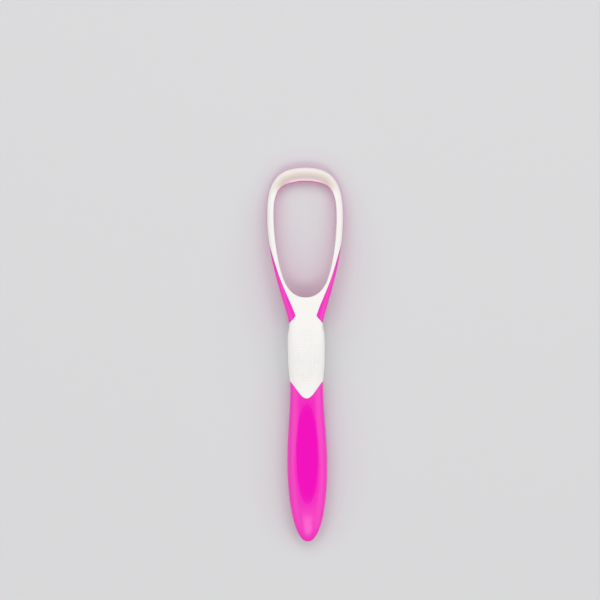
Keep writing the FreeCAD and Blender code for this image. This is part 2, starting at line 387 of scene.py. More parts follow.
def inset_outline(where):
    """Outline moved inwards: by tip_inset at its lower end, less and less (exponentially) above it."""
    inset = least_inset + (tip_inset - least_inset) * np.exp(-(where - where[0]) / inset_fade)
    return along(outline, where) + inset[:, None] * leftward(outline, where, probe)


seam_line = np.stack([seam_x, np.full_like(seam_x, y_neck)], axis=-1)
tip_along = np.interp(strip_top, lower_outline[:, 1], lengths(lower_outline))
upper_edge = inset_outline(np.linspace(tip_along, lengths(outline)[-1] - 2 * probe, upper_points))
upper_edge[-1, 0] = 0.0
white_edge = joined(strip_edge, upper_edge)
way = np.linspace(0, lengths(white_edge)[-1], way_steps + 1)
from_tip = (way - lengths(strip_edge)[-1]) / tip_reach
spacing = wide_step - neck_closer * (1 - ramp(way, neck_from, neck_to))
spacing = spacing - tip_closer * np.exp(-from_tip ** 2)
steps_to = np.concatenate([[0], np.cumsum(np.diff(way) / spacing[1:])])
edge_way = np.interp(np.linspace(0, steps_to[-1], edge_steps + 1), steps_to, way)
on_edge = joined(seam_line, along(white_edge, edge_way))
print("white's edge", round(lengths(on_edge)[-1], 1), "mm long, with", len(on_edge), "points")

# %% [markdown]
# Every column is one straight line in plan: from the opening, square to it, across the white's edge to
# the outside. To find its outer end, all columns are crossed with all straight bits of a curve at once.

# %% Where rays meet a curve
slack, tiny = 1e-6, 1e-12


def cross(a, b):
    """Cross product in plan: ax by - ay bx."""
    return a[..., 0] * b[..., 1] - a[..., 1] * b[..., 0]


def first_crossing(start, through, curve):
    """Where the ray from `start` through `through` first meets a polyline beyond `through`.

    With the ray r, a straight bit b of the polyline and the gap g between their starts, they cross at the
    share g x b / r x b of the ray and g x r / r x b of the bit.
    """
    ray = (through - start)[:, None]
    bit = np.diff(curve, axis=0)[None]
    gap = curve[None, :-1] - start[:, None]
    slant = cross(ray, bit)
    slant = np.where(slant == 0, tiny, slant)
    on_ray, on_bit = cross(gap, bit) / slant, cross(gap, ray) / slant
    met = (on_bit >= -slack) & (on_bit <= 1 + slack) & (on_ray >= 1 - slack)
    share = np.where(met, on_ray, np.inf).min(1)
    return start + np.where(np.isfinite(share), share, 1.0)[:, None] * (through - start)


level = np.array([[0, y_loop], [1, y_loop]])
print("a level ray meets the outline at", np.round(first_crossing(level[:1], level[1:], outline)[0], 2))

# %% [markdown]
# Beside the neck the columns end on the shoulder, further up on the outline. The white and the magenta
# are carried round on the same columns, so their seam can't gape.

# %% Columns round the loop
touching, corner_below, corner_steps = 1e-9, 3, 4000
tuck, tuck_start, tuck_end = 0.06, 1, 9
on_opening = nearest(on_edge, opening)
on_opening[0, 0] = on_opening[-1, 0] = 0.0
out = (on_edge - on_opening) / np.hypot(*(on_edge - on_opening).T)[:, None]

beside = slice(seam_steps + 1, None)
shoulder_x = np.array([half_neck, 2 * half_waist])
shoulder = np.stack([shoulder_x, shoulder_edge(shoulder_x)], axis=-1)
to_shoulder = first_crossing(on_opening[beside], on_edge[beside], shoulder)
to_outline = first_crossing(on_opening[beside], on_edge[beside], outline)
shoulder_gap = np.hypot(*(to_shoulder - on_edge[beside]).T)
near = (shoulder_gap < np.hypot(*(to_outline - on_edge[beside]).T)) & (shoulder_gap > touching)
on_outside = on_edge.copy()
on_outside[beside] = np.where(near[:, None], to_shoulder, to_outline)

# One column ends exactly in the corner between shoulder and outline
corner_y = np.linspace(y_up - corner_below, y_neck, corner_steps + 1)
corner_x = outline_half(corner_y)
at_corner = np.abs(corner_y - shoulder_edge(corner_x)).argmin()
on_outside[seam_steps + 1 + int(near.sum())] = corner_x[at_corner], corner_y[at_corner]
on_outside[-1, 0] = 0.0

# Above the bare strip the magenta stays just inside the white
tip_way = lengths(on_edge)[np.abs(on_edge[:, 1] - strip_top).argmin()]
covered = ramp(lengths(on_edge), tip_way + tuck_start, tip_way + tuck_end)
on_outside = on_outside - tuck * covered[:, None] * out
print("columns round half the loop:", len(on_edge), "of which", int(near.sum()), "end on the shoulder")

# %% [markdown]
# Over the loop the front is flat across each column and rolls down to the outside in a quarter round. At
# the neck it takes over the grip's rounded box instead, and between the two the heights are blended.

# %% Heights of the loop
outer_round, back_round, blend_length = 2.2, 1.5, 9


def edge_drop(plan, radius):
    """Fall of a quarter round: radius - sqrt(radius^2 - (radius - distance to the outline)^2)."""
    flat = plan.reshape(-1, 2)
    gap = np.hypot(*(flat - nearest(flat, outline)).T).reshape(plan.shape[:-1])
    return radius - np.sqrt(np.maximum(radius ** 2 - np.maximum(radius - gap, 0) ** 2, 0))


def box_rise(plan):
    """Share of the half depth of the grip's rounded box at each plan point, 0 at its side."""
    half = outline_half(plan[..., 1])
    t = share_across(np.minimum(np.abs(plan[..., 0]), half), half, box_fullness)
    return quarter(t, box_fullness)[1]


def head_height(plan, lift):
    """Height of the loop's front at lift 1, or of its back at lift -1, cut flat where it rests.

    The height in the middle, less or plus the quarter round, is blended into the grip's box at the neck.
    """
    y = plan[..., 1]
    boxed = back(y) + 0.5 * depth(y) * (1 + lift * box_rise(plan))
    rounded = front(y) - edge_drop(plan, outer_round) if lift > 0 else back(y) + edge_drop(plan, back_round)
    blend = ramp(y, y_neck, y_neck + blend_length)
    return np.maximum((1 - blend) * boxed + blend * rounded, 0)


crown_ends = np.array([on_opening[-1], on_edge[-1]])
print("loop's front at the crown, inside and outside:", np.round(head_height(crown_ends, 1), 2))

# %% [markdown]
# A moulding is made from grids of points whose columns run round it. Each row of a grid is built from
# plan points and heights. A grid's end is rolled over, because a moulded edge is never quite sharp.

# %% Rows of points
def lifted(plan, z):
    """Points in space from plan points and their heights."""
    return np.concatenate([plan, np.broadcast_to(z, plan.shape[:-1])[..., None]], axis=-1)


def spread(start, end, share):
    """Rows of points from start to end on each column: start + (end - start) * share."""
    return start + (end - start) * share[:, None, None]


def between(start, end, count):
    """The given number of rows evenly spaced between two rows, without the two themselves."""
    return spread(start, end, np.linspace(0, 1, count + 2)[1:-1])


def closing(count):
    """Shares from 0 to 1 whose steps get shorter towards 1: 1 - u^2 for u from 1 down to 0."""
    return 1 - np.linspace(1, 0, count) ** 2


def quarter_turn(steps):
    """Angles from 0 to a right angle in even steps, shaped so that each makes one row of points."""
    return np.linspace(0, math.pi / 2, steps + 1)[:, None, None]


def rolled(last, before, radius, inside, steps=4):
    """Rounded end of a grid: a quarter turn from the surface's own direction to straight inwards.

    `last` and `before` are its last two rows, and `inside` is a point within for each column.
    """
    ahead = last - before
    ahead = ahead / np.linalg.norm(ahead, axis=-1, keepdims=True)
    sideways = np.roll(last, -1, axis=0) - np.roll(last, 1, axis=0)
    outward = np.cross(sideways, ahead)
    outward = outward / np.linalg.norm(outward, axis=-1, keepdims=True)
    outward = outward * np.sign(((last - inside) * outward).sum(-1, keepdims=True))
    turn = quarter_turn(steps)[1:]
    radius = np.broadcast_to(radius, last.shape[:1])[None, :, None]
    return last + radius * (np.sin(turn) * ahead - (1 - np.cos(turn)) * outward)


print("five shares that close up:", closing(5))

# %% [markdown]
# The grids of a moulding are joined into one mesh, points that fall together are merged, and the faces
# are turned outwards. Corners sharper than 38 degrees stay crisp. A watertight mesh has no open or
# doubled edge.

# %% Grids to meshes
merge_distance, crisp_angle = 0.00005 * MM, math.radians(38)


def quads_of(rows, columns, closed=False):
    """Faces of a grid, four neighbours each: its columns run round, and its rows too if it is closed."""
    r = np.arange(rows if closed else rows - 1)[:, None]
    c = np.arange(columns)[None, :]
    right, above = (c + 1) % columns, (r + 1) % rows
    corners = (r * columns + c, r * columns + right, above * columns + right, above * columns + c)
    return np.stack(np.broadcast_arrays(*corners), axis=-1)


def both_sides(right):
    """Right half of a ring of columns, then its mirror image back to the start."""
    return np.concatenate([right, right[:, -2:0:-1] * np.array([-1, 1, 1])], axis=1)


def piece_of(name, patches, node=None):
    """Object from patches of (points in mm, quads), set on the frame's one body."""
    counts = np.cumsum([0] + [grid.size // 3 for grid, quads in patches])
    points = np.concatenate([grid.reshape(-1, 3) for grid, quads in patches]) * MM
    faces = np.concatenate([quads.reshape(-1, 4) + first for (grid, quads), first in zip(patches, counts)])
    mesh = bpy.data.meshes.new(name)
    mesh.from_pydata(points, [], faces)
    shape = bmesh.new()
    shape.from_mesh(mesh)
    bmesh.ops.remove_doubles(shape, verts=shape.verts, dist=merge_distance)
    bmesh.ops.recalc_face_normals(shape, faces=shape.faces)
    open_edges = sum(not edge.is_manifold for edge in shape.edges)
    shape.to_mesh(mesh)
    shape.free()
    mesh.shade_smooth()
    mesh.set_sharp_from_angle(angle=crisp_angle)
    piece = bpy.data.objects.new(name, mesh)
    bpy.context.scene.collection.objects.link(piece)
    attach(piece, "root")
    if node:
        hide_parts(node)
    print(name, len(mesh.polygons), "faces,", open_edges, "open or doubled edges")
    return piece


print("a ring of 3 rows and 8 columns has", quads_of(3, 8).size // 4, "faces")

# %% [markdown]
# The pad's lower edge is a pointed curve that dips to a nib in the middle. It could be cut out of a
# finished handle, but here every column simply ends where it meets that curve, so the seam is a clean row
# of points.

# %% Rows along the handle
nib_spread = 0.35
nib = swing((0, y_nib, 0), (half_width(y_corner) + nib_spread, y_corner, 40), 0.25, 0.36)


def nib_edge(x):
    """Pad's lower edge, y at a distance x from the middle: the nib's curve."""
    return np.interp(x, nib[:, 0], nib[:, 1])


def column_ends(edge):
    """Place y on each column where the plan curve y = edge(x) crosses it, after sixty half steps to it."""
    y = np.full(len(around), float(y_low))
    for _ in range(60):
        y = 0.5 * y + 0.5 * edge(half_width(y) * quarter(around, fullness(y))[0])
    return y


def on_axis(y):
    """Points halfway up the tool, in its middle."""
    return np.stack([np.zeros_like(y), y, middle(y)], axis=-1)


def body_rows(y_from, y_to, share, inset=0.0):
    """Rows of the section from y_from to y_to at each column; `inset` draws them in by that many mm."""
    y = y_from + (y_to - y_from) * share[:, None]
    points = body_point(sides, lifts, around, y)
    less_wide, less_deep = 1 - inset / np.maximum(half_width(y), 1), 1 - 2 * inset / depth(y)
    less = np.stack([less_wide, np.ones_like(y), less_deep], axis=-1)
    return points if inset == 0 else on_axis(y) + (points - on_axis(y)) * less


pad_low, pad_high = column_ends(nib_edge), column_ends(shoulder_edge)
print("pad's lower edge rises", round(float(np.ptp(pad_low)), 2), "mm from the nib to the side")

# %% [markdown]
# The handle is the section carried from the tail to the pad's edge. A subdivided box could be pushed into
# this shape too, but a carried section keeps the measured widths. Its rows crowd together at the rounded
# tail, as the cosine of an angle does. At the seam the moulding rolls inwards and goes on as a tang
# inside the pad.

# %% Handle and tang
seam_round, seam_gap, pad_wall = 0.12, 0.04, 1.2
tang_slack, tang_top = 0.15, 20.0
handle_rows, tang_rows = 181, 30
shell = body_rows(y_tail, pad_low - seam_round, 1 - np.cos(np.linspace(0, math.pi / 2, handle_rows)))
shell_roll = rolled(shell[-1], shell[-2], seam_round, on_axis(shell[-1, :, 1]))
tang = body_rows(pad_low, tang_top, np.linspace(0, 1, tang_rows), pad_wall + tang_slack)
tang_end = np.repeat(tang[-1:].mean(axis=1, keepdims=True), len(around), axis=1)
handle = np.concatenate([shell, shell_roll, tang, tang_end])
handle_patch = (handle, quads_of(*handle.shape[:2]))
print("handle grid", handle.shape[:2], "rows and columns")

# %% [markdown]
# The loop's frame is nearly all under the white and shows as a bare strip up each side of the fork. A
# bevelled curve could make a plain ring, but this one changes its width all the way round. So a closed
# profile is carried round the opening: the seat under the white, the wall of the seam, the bare strip,
# the round back and the inner wall.

# %% Fork and loop
inner_round, most_roll, sliver = 0.4, 0.35, 0.1
seat_rows, strip_rows, under_rows, under_power = 13, 13, 17, 1.7
column = np.arange(len(on_edge))


def rounded_foot(turn, radius, low_z):
    """Quarter round at the opening, from an underside at low_z up into the opening's wall."""
    plan = on_opening + (1 - np.sin(turn)) * radius * out
    return lifted(plan, low_z + radius * (1 - np.cos(turn[..., 0])))


bare = ((on_outside - on_edge) * out).sum(-1)
seam_out = on_edge + np.where(bare > 0, np.minimum(seam_gap, 0.5 * bare), bare)[:, None] * out
strip_roll = np.minimum(seam_round, most_roll * np.hypot(*(on_outside - seam_out).T))[:, None]
strip = spread(seam_out + strip_roll * out, on_outside, closing(strip_rows))
strip_seat = under_rim(strip[..., 1])
strip_rise = np.where(column > seam_steps, ramp(bare, 0, sliver), 1)
strip = lifted(strip, strip_seat + (head_height(strip, 1) - strip_seat) * strip_rise)
turn = quarter_turn(4)[:-1]
seam_wall = lifted(seam_out + (1 - np.cos(turn)) * strip_roll * out,
                   strip[0, :, 2] - strip_roll[:, 0] * (1 - np.sin(turn[..., 0])))
seat = spread(on_opening, seam_out, np.linspace(0, 1, seat_rows))
seat = lifted(seat, under_rim(seat[..., 1]))
under = spread(on_outside, on_opening + inner_round * out, np.linspace(0, 1, under_rows) ** under_power)
under = lifted(under, head_height(under, -1))
side_wall = between(strip[-1], under[0], 6)
inner_foot = rounded_foot(quarter_turn(5)[1:], inner_round, under[-1, :, 2])
inner_wall = between(inner_foot[-1], seat[0], 4)
ring = both_sides(np.concatenate([seat, seam_wall, strip, side_wall, under, inner_foot, inner_wall]))
ring_patch = (ring, quads_of(*ring.shape[:2], closed=True))
print("loop grid", ring.shape[:2], "bare strip up to", round(float(bare.max()), 2), "mm wide")

# %% [markdown]
# A small lip under the rim's top edge is the scraper. It could be drawn out of the frame's inner wall,
# but then the whole wall would need its fine rows. So it is a rounded bar of its own, rooted in the
# frame. It shows as a thin line below the white in the middle and withdraws into the frame towards both
# ends.

# %% Scraping lip
lip_root, lip_floor, lip_half, lip_below = 0.8, 0.9, 19.0, 0.02
lip_shows, lip_full, lip_gone = 0.24, 9.0, 16.0
lip_tuck, tuck_from = 0.1, 12.0
lip_steps, lip_sides, boxy_power = 80, 32, 0.4


def left_and_right(plan):
    """Mirror image of a plan curve from its far end to the middle, then the curve itself."""
    return np.concatenate([(plan * np.array([-1, 1]))[:0:-1], plan])


def boxy(wave):
    """Sine or cosine pushed out towards -1 and 1, its sign times its size^0.4, for a rounded box."""
    return np.sign(wave) * np.abs(wave) ** boxy_power


lip_way = lengths(opening)[-1] - np.linspace(0, lip_half, lip_steps + 1)
lip_right = along(opening, lip_way)
lip_in = leftward(opening, lip_way, 2 * probe)
lip_in[0], lip_right[0] = (0, -1), (0, y_rim)
lip_path, lip_in = left_and_right(lip_right), left_and_right(lip_in)
lip_from = np.abs(np.linspace(-lip_half, lip_half, len(lip_path)))
lip_reach = lip_shows * (1 - ramp(lip_from, lip_full, lip_gone))
lip_reach = lip_reach - lip_tuck * ramp(lip_from, tuck_from, lip_half)
v = np.linspace(0, 2 * math.pi, lip_sides, endpoint=False)[None, :]
lip_across = -lip_root + 0.5 * (lip_root + lip_reach[:, None]) * (1 + boxy(np.cos(v)))
lip_top = under_rim(lip_path[:, 1:]) - lip_below
lip_z = 0.5 * (lip_top + lip_floor) + 0.5 * (lip_top - lip_floor) * boxy(np.sin(v))
lip = lifted(lip_path[:, None] + lip_across[..., None] * lip_in[:, None], lip_z)
lip_tips = np.repeat(lip[[0, -1]].mean(axis=1, keepdims=True), lip_sides, axis=1)
lip = np.concatenate([lip_tips[:1], lip, lip_tips[1:]])
lip_patch = (lip, quads_of(*lip.shape[:2]))
print("lip grid", lip.shape[:2], "and its top at z", round(float(lip_top.max()), 2), "mm")

# %% [markdown]
# Handle, loop and lip come out of one mould in one shot of plastic, so they make one piece. It takes the
# place of the solid handle_frame.

# %% Rigid moulding as one piece
rigid_patches = [handle_patch, ring_patch, lip_patch]
rigid_moulding = piece_of("rigid_moulding", rigid_patches, "handle_frame")

# %% [markdown]
# The soft moulding is a sleeve round the grip that runs on through the neck into the rim. A solidify
# modifier could give a skin its thickness, but with sharp edges. So the sleeve has an outer and an inner
# grid with rolled edges between them. Sleeve and rim share the points across the neck, and the white is
# one skin there.

# %% Thumb pad
pad_round, core_step, fade_columns = 0.08, 0.3, 6
skin_rows, core_rows = 121, 61


def opened(quads, first_row, last_row):
    """Faces of a closed grid without the given rows across the neck, where pad and rim run together."""
    place = np.arange(quads.shape[1])
    across_neck = (place < seam_steps) | (place >= quads.shape[1] - seam_steps)
    kept = np.ones(quads.shape[:2], bool)
    kept[np.ix_(np.arange(first_row, last_row + 1), place[across_neck])] = False
    return quads[kept]


pad_column = np.arange(len(around))
from_seam = np.minimum(pad_column, len(around) - pad_column) - seam_steps
at_edge = ramp(from_seam, 0, fade_columns)
pad_top = pad_high - (seam_gap + pad_round) * at_edge
pad_foot = pad_low + seam_gap + seam_round
pad_skin = body_rows(pad_foot, pad_top, np.linspace(0, 1, skin_rows))
core_foot, core_top = pad_foot + core_step, pad_top - core_step * at_edge
pad_core = body_rows(core_foot, core_top, np.linspace(0, 1, core_rows), pad_wall)
foot_roll = rolled(pad_skin[0], pad_skin[1], seam_round, pad_core[0])
top_roll = rolled(pad_skin[-1], pad_skin[-2], pad_round * at_edge, pad_core[-1])
pad = np.concatenate([foot_roll[::-1], pad_skin, top_roll, pad_core[::-1]])
skin_end = len(foot_roll) + len(pad_skin) - 1
pad_patch = (pad, opened(quads_of(*pad.shape[:2], closed=True), skin_end, skin_end + len(top_roll)))
print("pad grid", pad.shape[:2], "with", len(pad_patch[1]), "faces left after opening it at the neck")

# %% [markdown]
# The rim's front comes off the pad's last row at the neck and closes round the opening. Its outer edge is
# rolled where it meets the bare strip, and rolled less where it only laps over the frame.

# %% Rim's front
band_rows, match_power = 29, 4
lap_round, lap_width, strip_width = 0.05, 0.1, 0.6
seam_high, seam_low = pad_skin[-1, :seam_steps + 1], pad_core[-1, :seam_steps + 1]
edge_roll = lap_round + (seam_round - lap_round) * ramp(bare, lap_width, strip_width)
edge_roll = edge_roll * ramp(column - seam_steps, 0, fade_columns)
share = closing(band_rows)
band = spread(on_opening + inner_round * out, on_edge - edge_roll[:, None] * out, share)
band_z = head_height(band, 1)
lacking = np.concatenate([seam_high[:, 2] - band_z[-1, :seam_steps + 1], np.zeros(edge_steps)])
band = lifted(band, band_z + share[:, None] ** match_power * lacking)
band[-1, :seam_steps + 1] = seam_high
print("rim's front was raised by up to", round(float(np.abs(lacking).max()), 3), "mm to meet the pad")

# %% [markdown]
# Inside, the rim's wall stands on the frame's seat with rounded corners above and below. Underneath it is
# flat, and at the neck it opens into the pad, so that rim and pad together are one closed skin. It takes
# the place of the solid soft_grip_rim.

# %% Rim's walls, and the soft moulding as one piece
seat_clear, floor_inset = 0.1, 0.3
rim_floor = under_rim(on_opening[:, 1]) + seat_clear
brow = quarter_turn(5)[:-1]
inner_brow = lifted(on_opening + (1 - np.cos(brow)) * inner_round * out,
                    band[0, :, 2] - inner_round * (1 - np.sin(brow[..., 0])))
inner_heel = rounded_foot(quarter_turn(3), seam_round, rim_floor)
inner_side = between(inner_heel[-1], inner_brow[0], 3)
roof = rolled(band[-1], band[-2], edge_roll, lifted(on_opening, rim_floor))
floor_out = lifted(on_edge - floor_inset * out, under_rim(on_edge[:, 1]) + seat_clear)
floor_out[:seam_steps + 1] = seam_low
rim_under = np.concatenate([floor_out[None], between(floor_out, inner_heel[0], 7)])
rim = both_sides(np.concatenate([inner_heel, inner_side, inner_brow, band, roof, rim_under]))
band_end = len(rim) - len(rim_under) - len(roof) - 1
rim_patch = (rim, opened(quads_of(*rim.shape[:2], closed=True), band_end, band_end + len(roof)))
soft_moulding = piece_of("soft_moulding", [pad_patch, rim_patch], "soft_grip_rim")

# %% [markdown]
# Small nubs stand in a leaf-shaped field on the thumb pad, so that a wet thumb holds. A bump texture
# would leave the mesh smooth, and scattered copies wouldn't keep to straight rows. So the nubs are real
# low domes on a grid, each turned to the pad's own slope.

# %% Where the nubs stand
nub_step_x, nub_step_y = 1.15, 1.2
field_half_length, field_half, leaf_power = 11.5, 4.75, 2.6
most_rows, most_slots, lean = 20, 8, 0.02


def pad_height(x, y):
    """Height of the pad's front at x, y: the middle's height plus the section's rise at x."""
    half, full = half_width(y), fullness(y)
    rise = quarter(share_across(np.minimum(np.abs(x), half), half, full), full)[1]
    return middle(y) + 0.5 * depth(y) * rise


rows = np.arange(-most_rows, most_rows + 1)[:, None]
slots = np.arange(-most_slots, most_slots + 1)[None, :]
nub_x, nub_y = np.broadcast_arrays(slots * nub_step_x, rows * nub_step_y)
leaf = np.abs(nub_y) / field_half_length
inside = np.abs(nub_x) < field_half * np.sqrt(np.clip(1 - leaf ** leaf_power, 0, 1))
nub_x, nub_y = nub_x[inside], nub_y[inside]
slope_x = (pad_height(nub_x + lean, nub_y) - pad_height(nub_x - lean, nub_y)) / (2 * lean)
slope_y = (pad_height(nub_x, nub_y + lean) - pad_height(nub_x, nub_y - lean)) / (2 * lean)
print(len(nub_x), "nubs, steepest slope across", round(float(np.abs(slope_x).max()), 2))

# %% [markdown]
# One dome is five rings of eight points, the lowest of them just under the pad's skin. There are many
# domes, so each has only 32 faces. All are made at once: the same rings are added to every place, tilted
# by the slope that was measured there.

# %% Nubs on the thumb pad
nub_radius, nub_height, nub_rings, nub_sides = 0.40, 0.16, 5, 8
ring_out = np.array([0.0, 1.0, 0.78, 0.42, 0.0])[:, None] * nub_radius
ring_up = np.array([-0.1, -0.06, 0.62 * nub_height, 0.93 * nub_height, nub_height])[:, None]
angle = np.linspace(0, 2 * math.pi, nub_sides, endpoint=False)[None, :]
dome_x, dome_y = ring_out * np.cos(angle), ring_out * np.sin(angle)
place_x, place_y, place_z, tilt_x, tilt_y = (
    value[:, None, None] for value in (nub_x, nub_y, pad_height(nub_x, nub_y), slope_x, slope_y))
dome_z = place_z + tilt_x * dome_x + tilt_y * dome_y + ring_up
domes = np.stack([place_x + dome_x, place_y + dome_y, dome_z], axis=-1)
first_points = np.arange(len(nub_x)) * nub_rings * nub_sides
dome_quads = quads_of(nub_rings, nub_sides)[None] + first_points[:, None, None, None]
thumb_nubs = piece_of("thumb_nubs", [(domes, dome_quads)])

# %% [markdown]
# Two places get a number at each vertex that says where they are. The handle's flat oval is polished,
# while the mould is satin round it. On the loop's top the number grows from the outside to the scraping
# edge. It sets where shade is painted into the white there, and where the white turns pink at the edge.

# %% Marks for the finishes
oval_half, oval_power, oval_in, oval_out = 5.2, 2.4, 0.5, 1.1
top_reach, painted_shade_from, painted_shade_to, top_points = 8, 7, 1, 330
upper_opening = opening[-top_points:]


def mark(piece, label, value_of):
    """Write a number at every vertex, worked out from its place in mm."""
    place = np.empty(3 * len(piece.data.vertices), np.float32)
    piece.data.vertices.foreach_get("co", place)
    value = value_of(place.reshape(-1, 3).astype(float) / MM)
    piece.data.attributes.new(label, "FLOAT", "POINT").data.foreach_set("value", value.astype(np.float32))
    print(label, "marks", int((value > 0.5).sum()), "vertices of", piece.name)


def on_oval(place):
    """1 inside the oval on the front: a ramp down over (x / half width)^2 + (y / half length)^2.4."""
    over = np.abs(place[:, 1] - (y_mark + mark_length / 2)) / (mark_length / 2)
    beyond = ramp((place[:, 0] / oval_half) ** 2 + over ** oval_power, oval_in, oval_out)
    return (1 - beyond) * (place[:, 2] > handle_depth / 2)


def shade_and_pink_share(place):
    """Share of the way from the loop's outside to its opening, faded out below the loop's top."""
    plan = np.stack([np.abs(place[:, 0]), place[:, 1]], axis=-1)
    high = plan[:, 1] > y_rim - top_reach
    top = plan[high]
    from_opening = np.hypot(*(top - nearest(top, upper_opening)).T)
    from_outside = np.hypot(*(top - nearest(top, crown)).T)
    share = np.zeros(len(plan))
    faded = ramp(top[:, 1], y_rim - painted_shade_from, y_rim + painted_shade_to)
    share[high] = from_outside / (from_outside + from_opening) * faded
    return share


mark(rigid_moulding, "polish", on_oval)
# This mark places painted shade on the loop's top band and pink at its scraping edge.
mark(soft_moulding, "shade_and_pink", shade_and_pink_share)

# %% [markdown]
# Materials are built from nodes. Three small helpers make a node with its settings, set plain numbers on
# a node's own sockets, and join outputs to sockets, so that each finish below reads as a short list.

# %% Helpers for nodes
def set_sockets(node, values):
    """Set plain values on a node's own sockets, found by name or by number."""
    for label, value in values.items():
        node.inputs[label].default_value = value


def node_of(tree, kind, values=None, **settings):
    """New node of a tree with the given settings, and then with the given values on its sockets."""
    node = tree.nodes.new(kind)
    for label, setting in settings.items():
        setattr(node, label, setting)
    set_sockets(node, values or {})
    return node


def link(tree, *pairs):
    """Join the output to the socket in each pair."""
    for output, socket in pairs:
        tree.links.new(output, socket)


print("materials before the finishes:", len(bpy.data.materials))

# %% [markdown]
# A moulded skin is never quite even: its gloss wanders a little, its colour drifts and it has a very fine
# grain. It could be painted, but noise in object coordinates needs no picture and stays with the piece.
# One node group makes it for both finishes, and each finish gives it its own amounts.

# %% Moulded skin, shared by both finishes
skin = bpy.data.node_groups.new("moulded skin", "ShaderNodeTree")
skin.interface.new_socket("Colour", in_out="INPUT", socket_type="NodeSocketColor")
for label in ("Drift", "Gloss low", "Gloss high", "Grain scale"):
    skin.interface.new_socket(label, in_out="INPUT", socket_type="NodeSocketFloat")
skin.interface.new_socket("Colour", in_out="OUTPUT", socket_type="NodeSocketColor")
for label in ("Roughness", "Height"):
    skin.interface.new_socket(label, in_out="OUTPUT", socket_type="NodeSocketFloat")
given = node_of(skin, "NodeGroupInput")
made = node_of(skin, "NodeGroupOutput")
place = node_of(skin, "ShaderNodeTexCoord")
cloud = node_of(skin, "ShaderNodeTexNoise", {"Scale": 90.0, "Detail": 3.0})
grain = node_of(skin, "ShaderNodeTexNoise", {"Detail": 2.0})
centred = node_of(skin, "ShaderNodeMath", {1: 0.5}, operation="SUBTRACT")
drift = node_of(skin, "ShaderNodeMath", {2: 1.0}, operation="MULTIPLY_ADD")
shade = node_of(skin, "ShaderNodeVectorMath", operation="SCALE")
gloss = node_of(skin, "ShaderNodeMapRange", {"From Min": 0.3, "From Max": 0.7})
link(skin,
     (place.outputs["Object"], cloud.inputs["Vector"]),
     (place.outputs["Object"], grain.inputs["Vector"]),
     (given.outputs["Grain scale"], grain.inputs["Scale"]),
     (cloud.outputs["Fac"], centred.inputs[0]),
     (centred.outputs[0], drift.inputs[0]),
     (given.outputs["Drift"], drift.inputs[1]),
     (given.outputs["Colour"], shade.inputs[0]),
     (drift.outputs[0], shade.inputs["Scale"]),
     (cloud.outputs["Fac"], gloss.inputs["Value"]),
     (given.outputs["Gloss low"], gloss.inputs["To Min"]),
     (given.outputs["Gloss high"], gloss.inputs["To Max"]),
     (shade.outputs[0], made.inputs["Colour"]),
     (gloss.outputs[0], made.inputs["Roughness"]),
     (grain.outputs["Fac"], made.inputs["Height"]))


def moulded_finish(name, grain_height, amounts):
    """Principled finish whose colour, roughness and bump, of a height in mm, come from the moulded skin."""
    finish = bpy.data.materials.new(name)
    finish.use_nodes = True
    tree = finish.node_tree
    surface = tree.nodes["Principled BSDF"]
    texture = node_of(tree, "ShaderNodeGroup", amounts, node_tree=skin, name="skin")
    bump = node_of(tree, "ShaderNodeBump", {"Strength": 1.0, "Distance": grain_height * MM})
    link(tree,
         (texture.outputs["Colour"], surface.inputs["Base Color"]),
         (texture.outputs["Roughness"], surface.inputs["Roughness"]),
         (texture.outputs["Height"], bump.inputs["Height"]),
         (bump.outputs["Normal"], surface.inputs["Normal"]))
    return finish, tree, surface, texture


print("moulded skin has", len(skin.nodes), "nodes")

# %% [markdown]
# The rigid moulding is a plastic coloured through, satin with a polished oval. Two materials would leave
# a jagged line between their faces. So one material reads the mark, and inside the oval its roughness
# goes over from the skin's to an even, low one.

# %% Magenta plastic
oval_roughness = 0.15
magenta_finish, tree, surface, texture = moulded_finish(
    "magenta plastic", grain_height=0.003,
    amounts={"Colour": (0.92, 0.003, 0.52, 1), "Drift": 0.05, "Gloss low": 0.35, "Gloss high": 0.40,
             "Grain scale": 900.0})
set_sockets(surface, {"IOR": 1.57, "Coat Weight": 0.3, "Coat Roughness": 0.15})
polish = node_of(tree, "ShaderNodeAttribute", attribute_name="polish")
smoother = node_of(tree, "ShaderNodeMix", {"B": oval_roughness})
link(tree,
     (polish.outputs["Fac"], smoother.inputs["Factor"]),
     (texture.outputs["Roughness"], smoother.inputs["A"]),
     (smoother.outputs["Result"], surface.inputs["Roughness"]))
rigid_moulding.data.materials.append(magenta_finish)
print(magenta_finish.name, "is on", rigid_moulding.name)

# %% [markdown]
# The soft moulding is an elastomer with a finer, deeper grain, and a little light goes into it. On the
# loop's top a colour ramp over the mark paints shade into the white: it turns to a darker cream towards
# the scraping edge, then to a painted pale pink highlight along the edge, and at the very edge the
# magenta under it shows pink.

# %% White elastomer
white = (0.90, 0.885, 0.86, 1)
# Stops: white, painted shade in darker creams, a painted pale pink highlight, then the magenta's pink.
shade_and_pink_stops = ((0.0, white), (0.18, (0.86, 0.82, 0.77, 1)), (0.45, (0.76, 0.68, 0.61, 1)),
              (0.70, (0.66, 0.55, 0.52, 1)), (0.82, (0.72, 0.60, 0.60, 1)),
              (0.90, (0.90, 0.72, 0.78, 1)), (0.97, (0.86, 0.40, 0.60, 1)))
white_finish, tree, surface, texture = moulded_finish(
    "white soft elastomer", grain_height=0.010,
    amounts={"Colour": white, "Drift": 0.03, "Gloss low": 0.46, "Gloss high": 0.58, "Grain scale": 4000.0})
set_sockets(surface, {"IOR": 1.45, "Sheen Weight": 0.08, "Sheen Roughness": 0.5, "Subsurface Weight": 0.1,
                      "Subsurface Radius": (1.0, 0.85, 0.7), "Subsurface Scale": 0.6 * MM})
shade_and_pink = node_of(tree, "ShaderNodeAttribute", attribute_name="shade_and_pink")
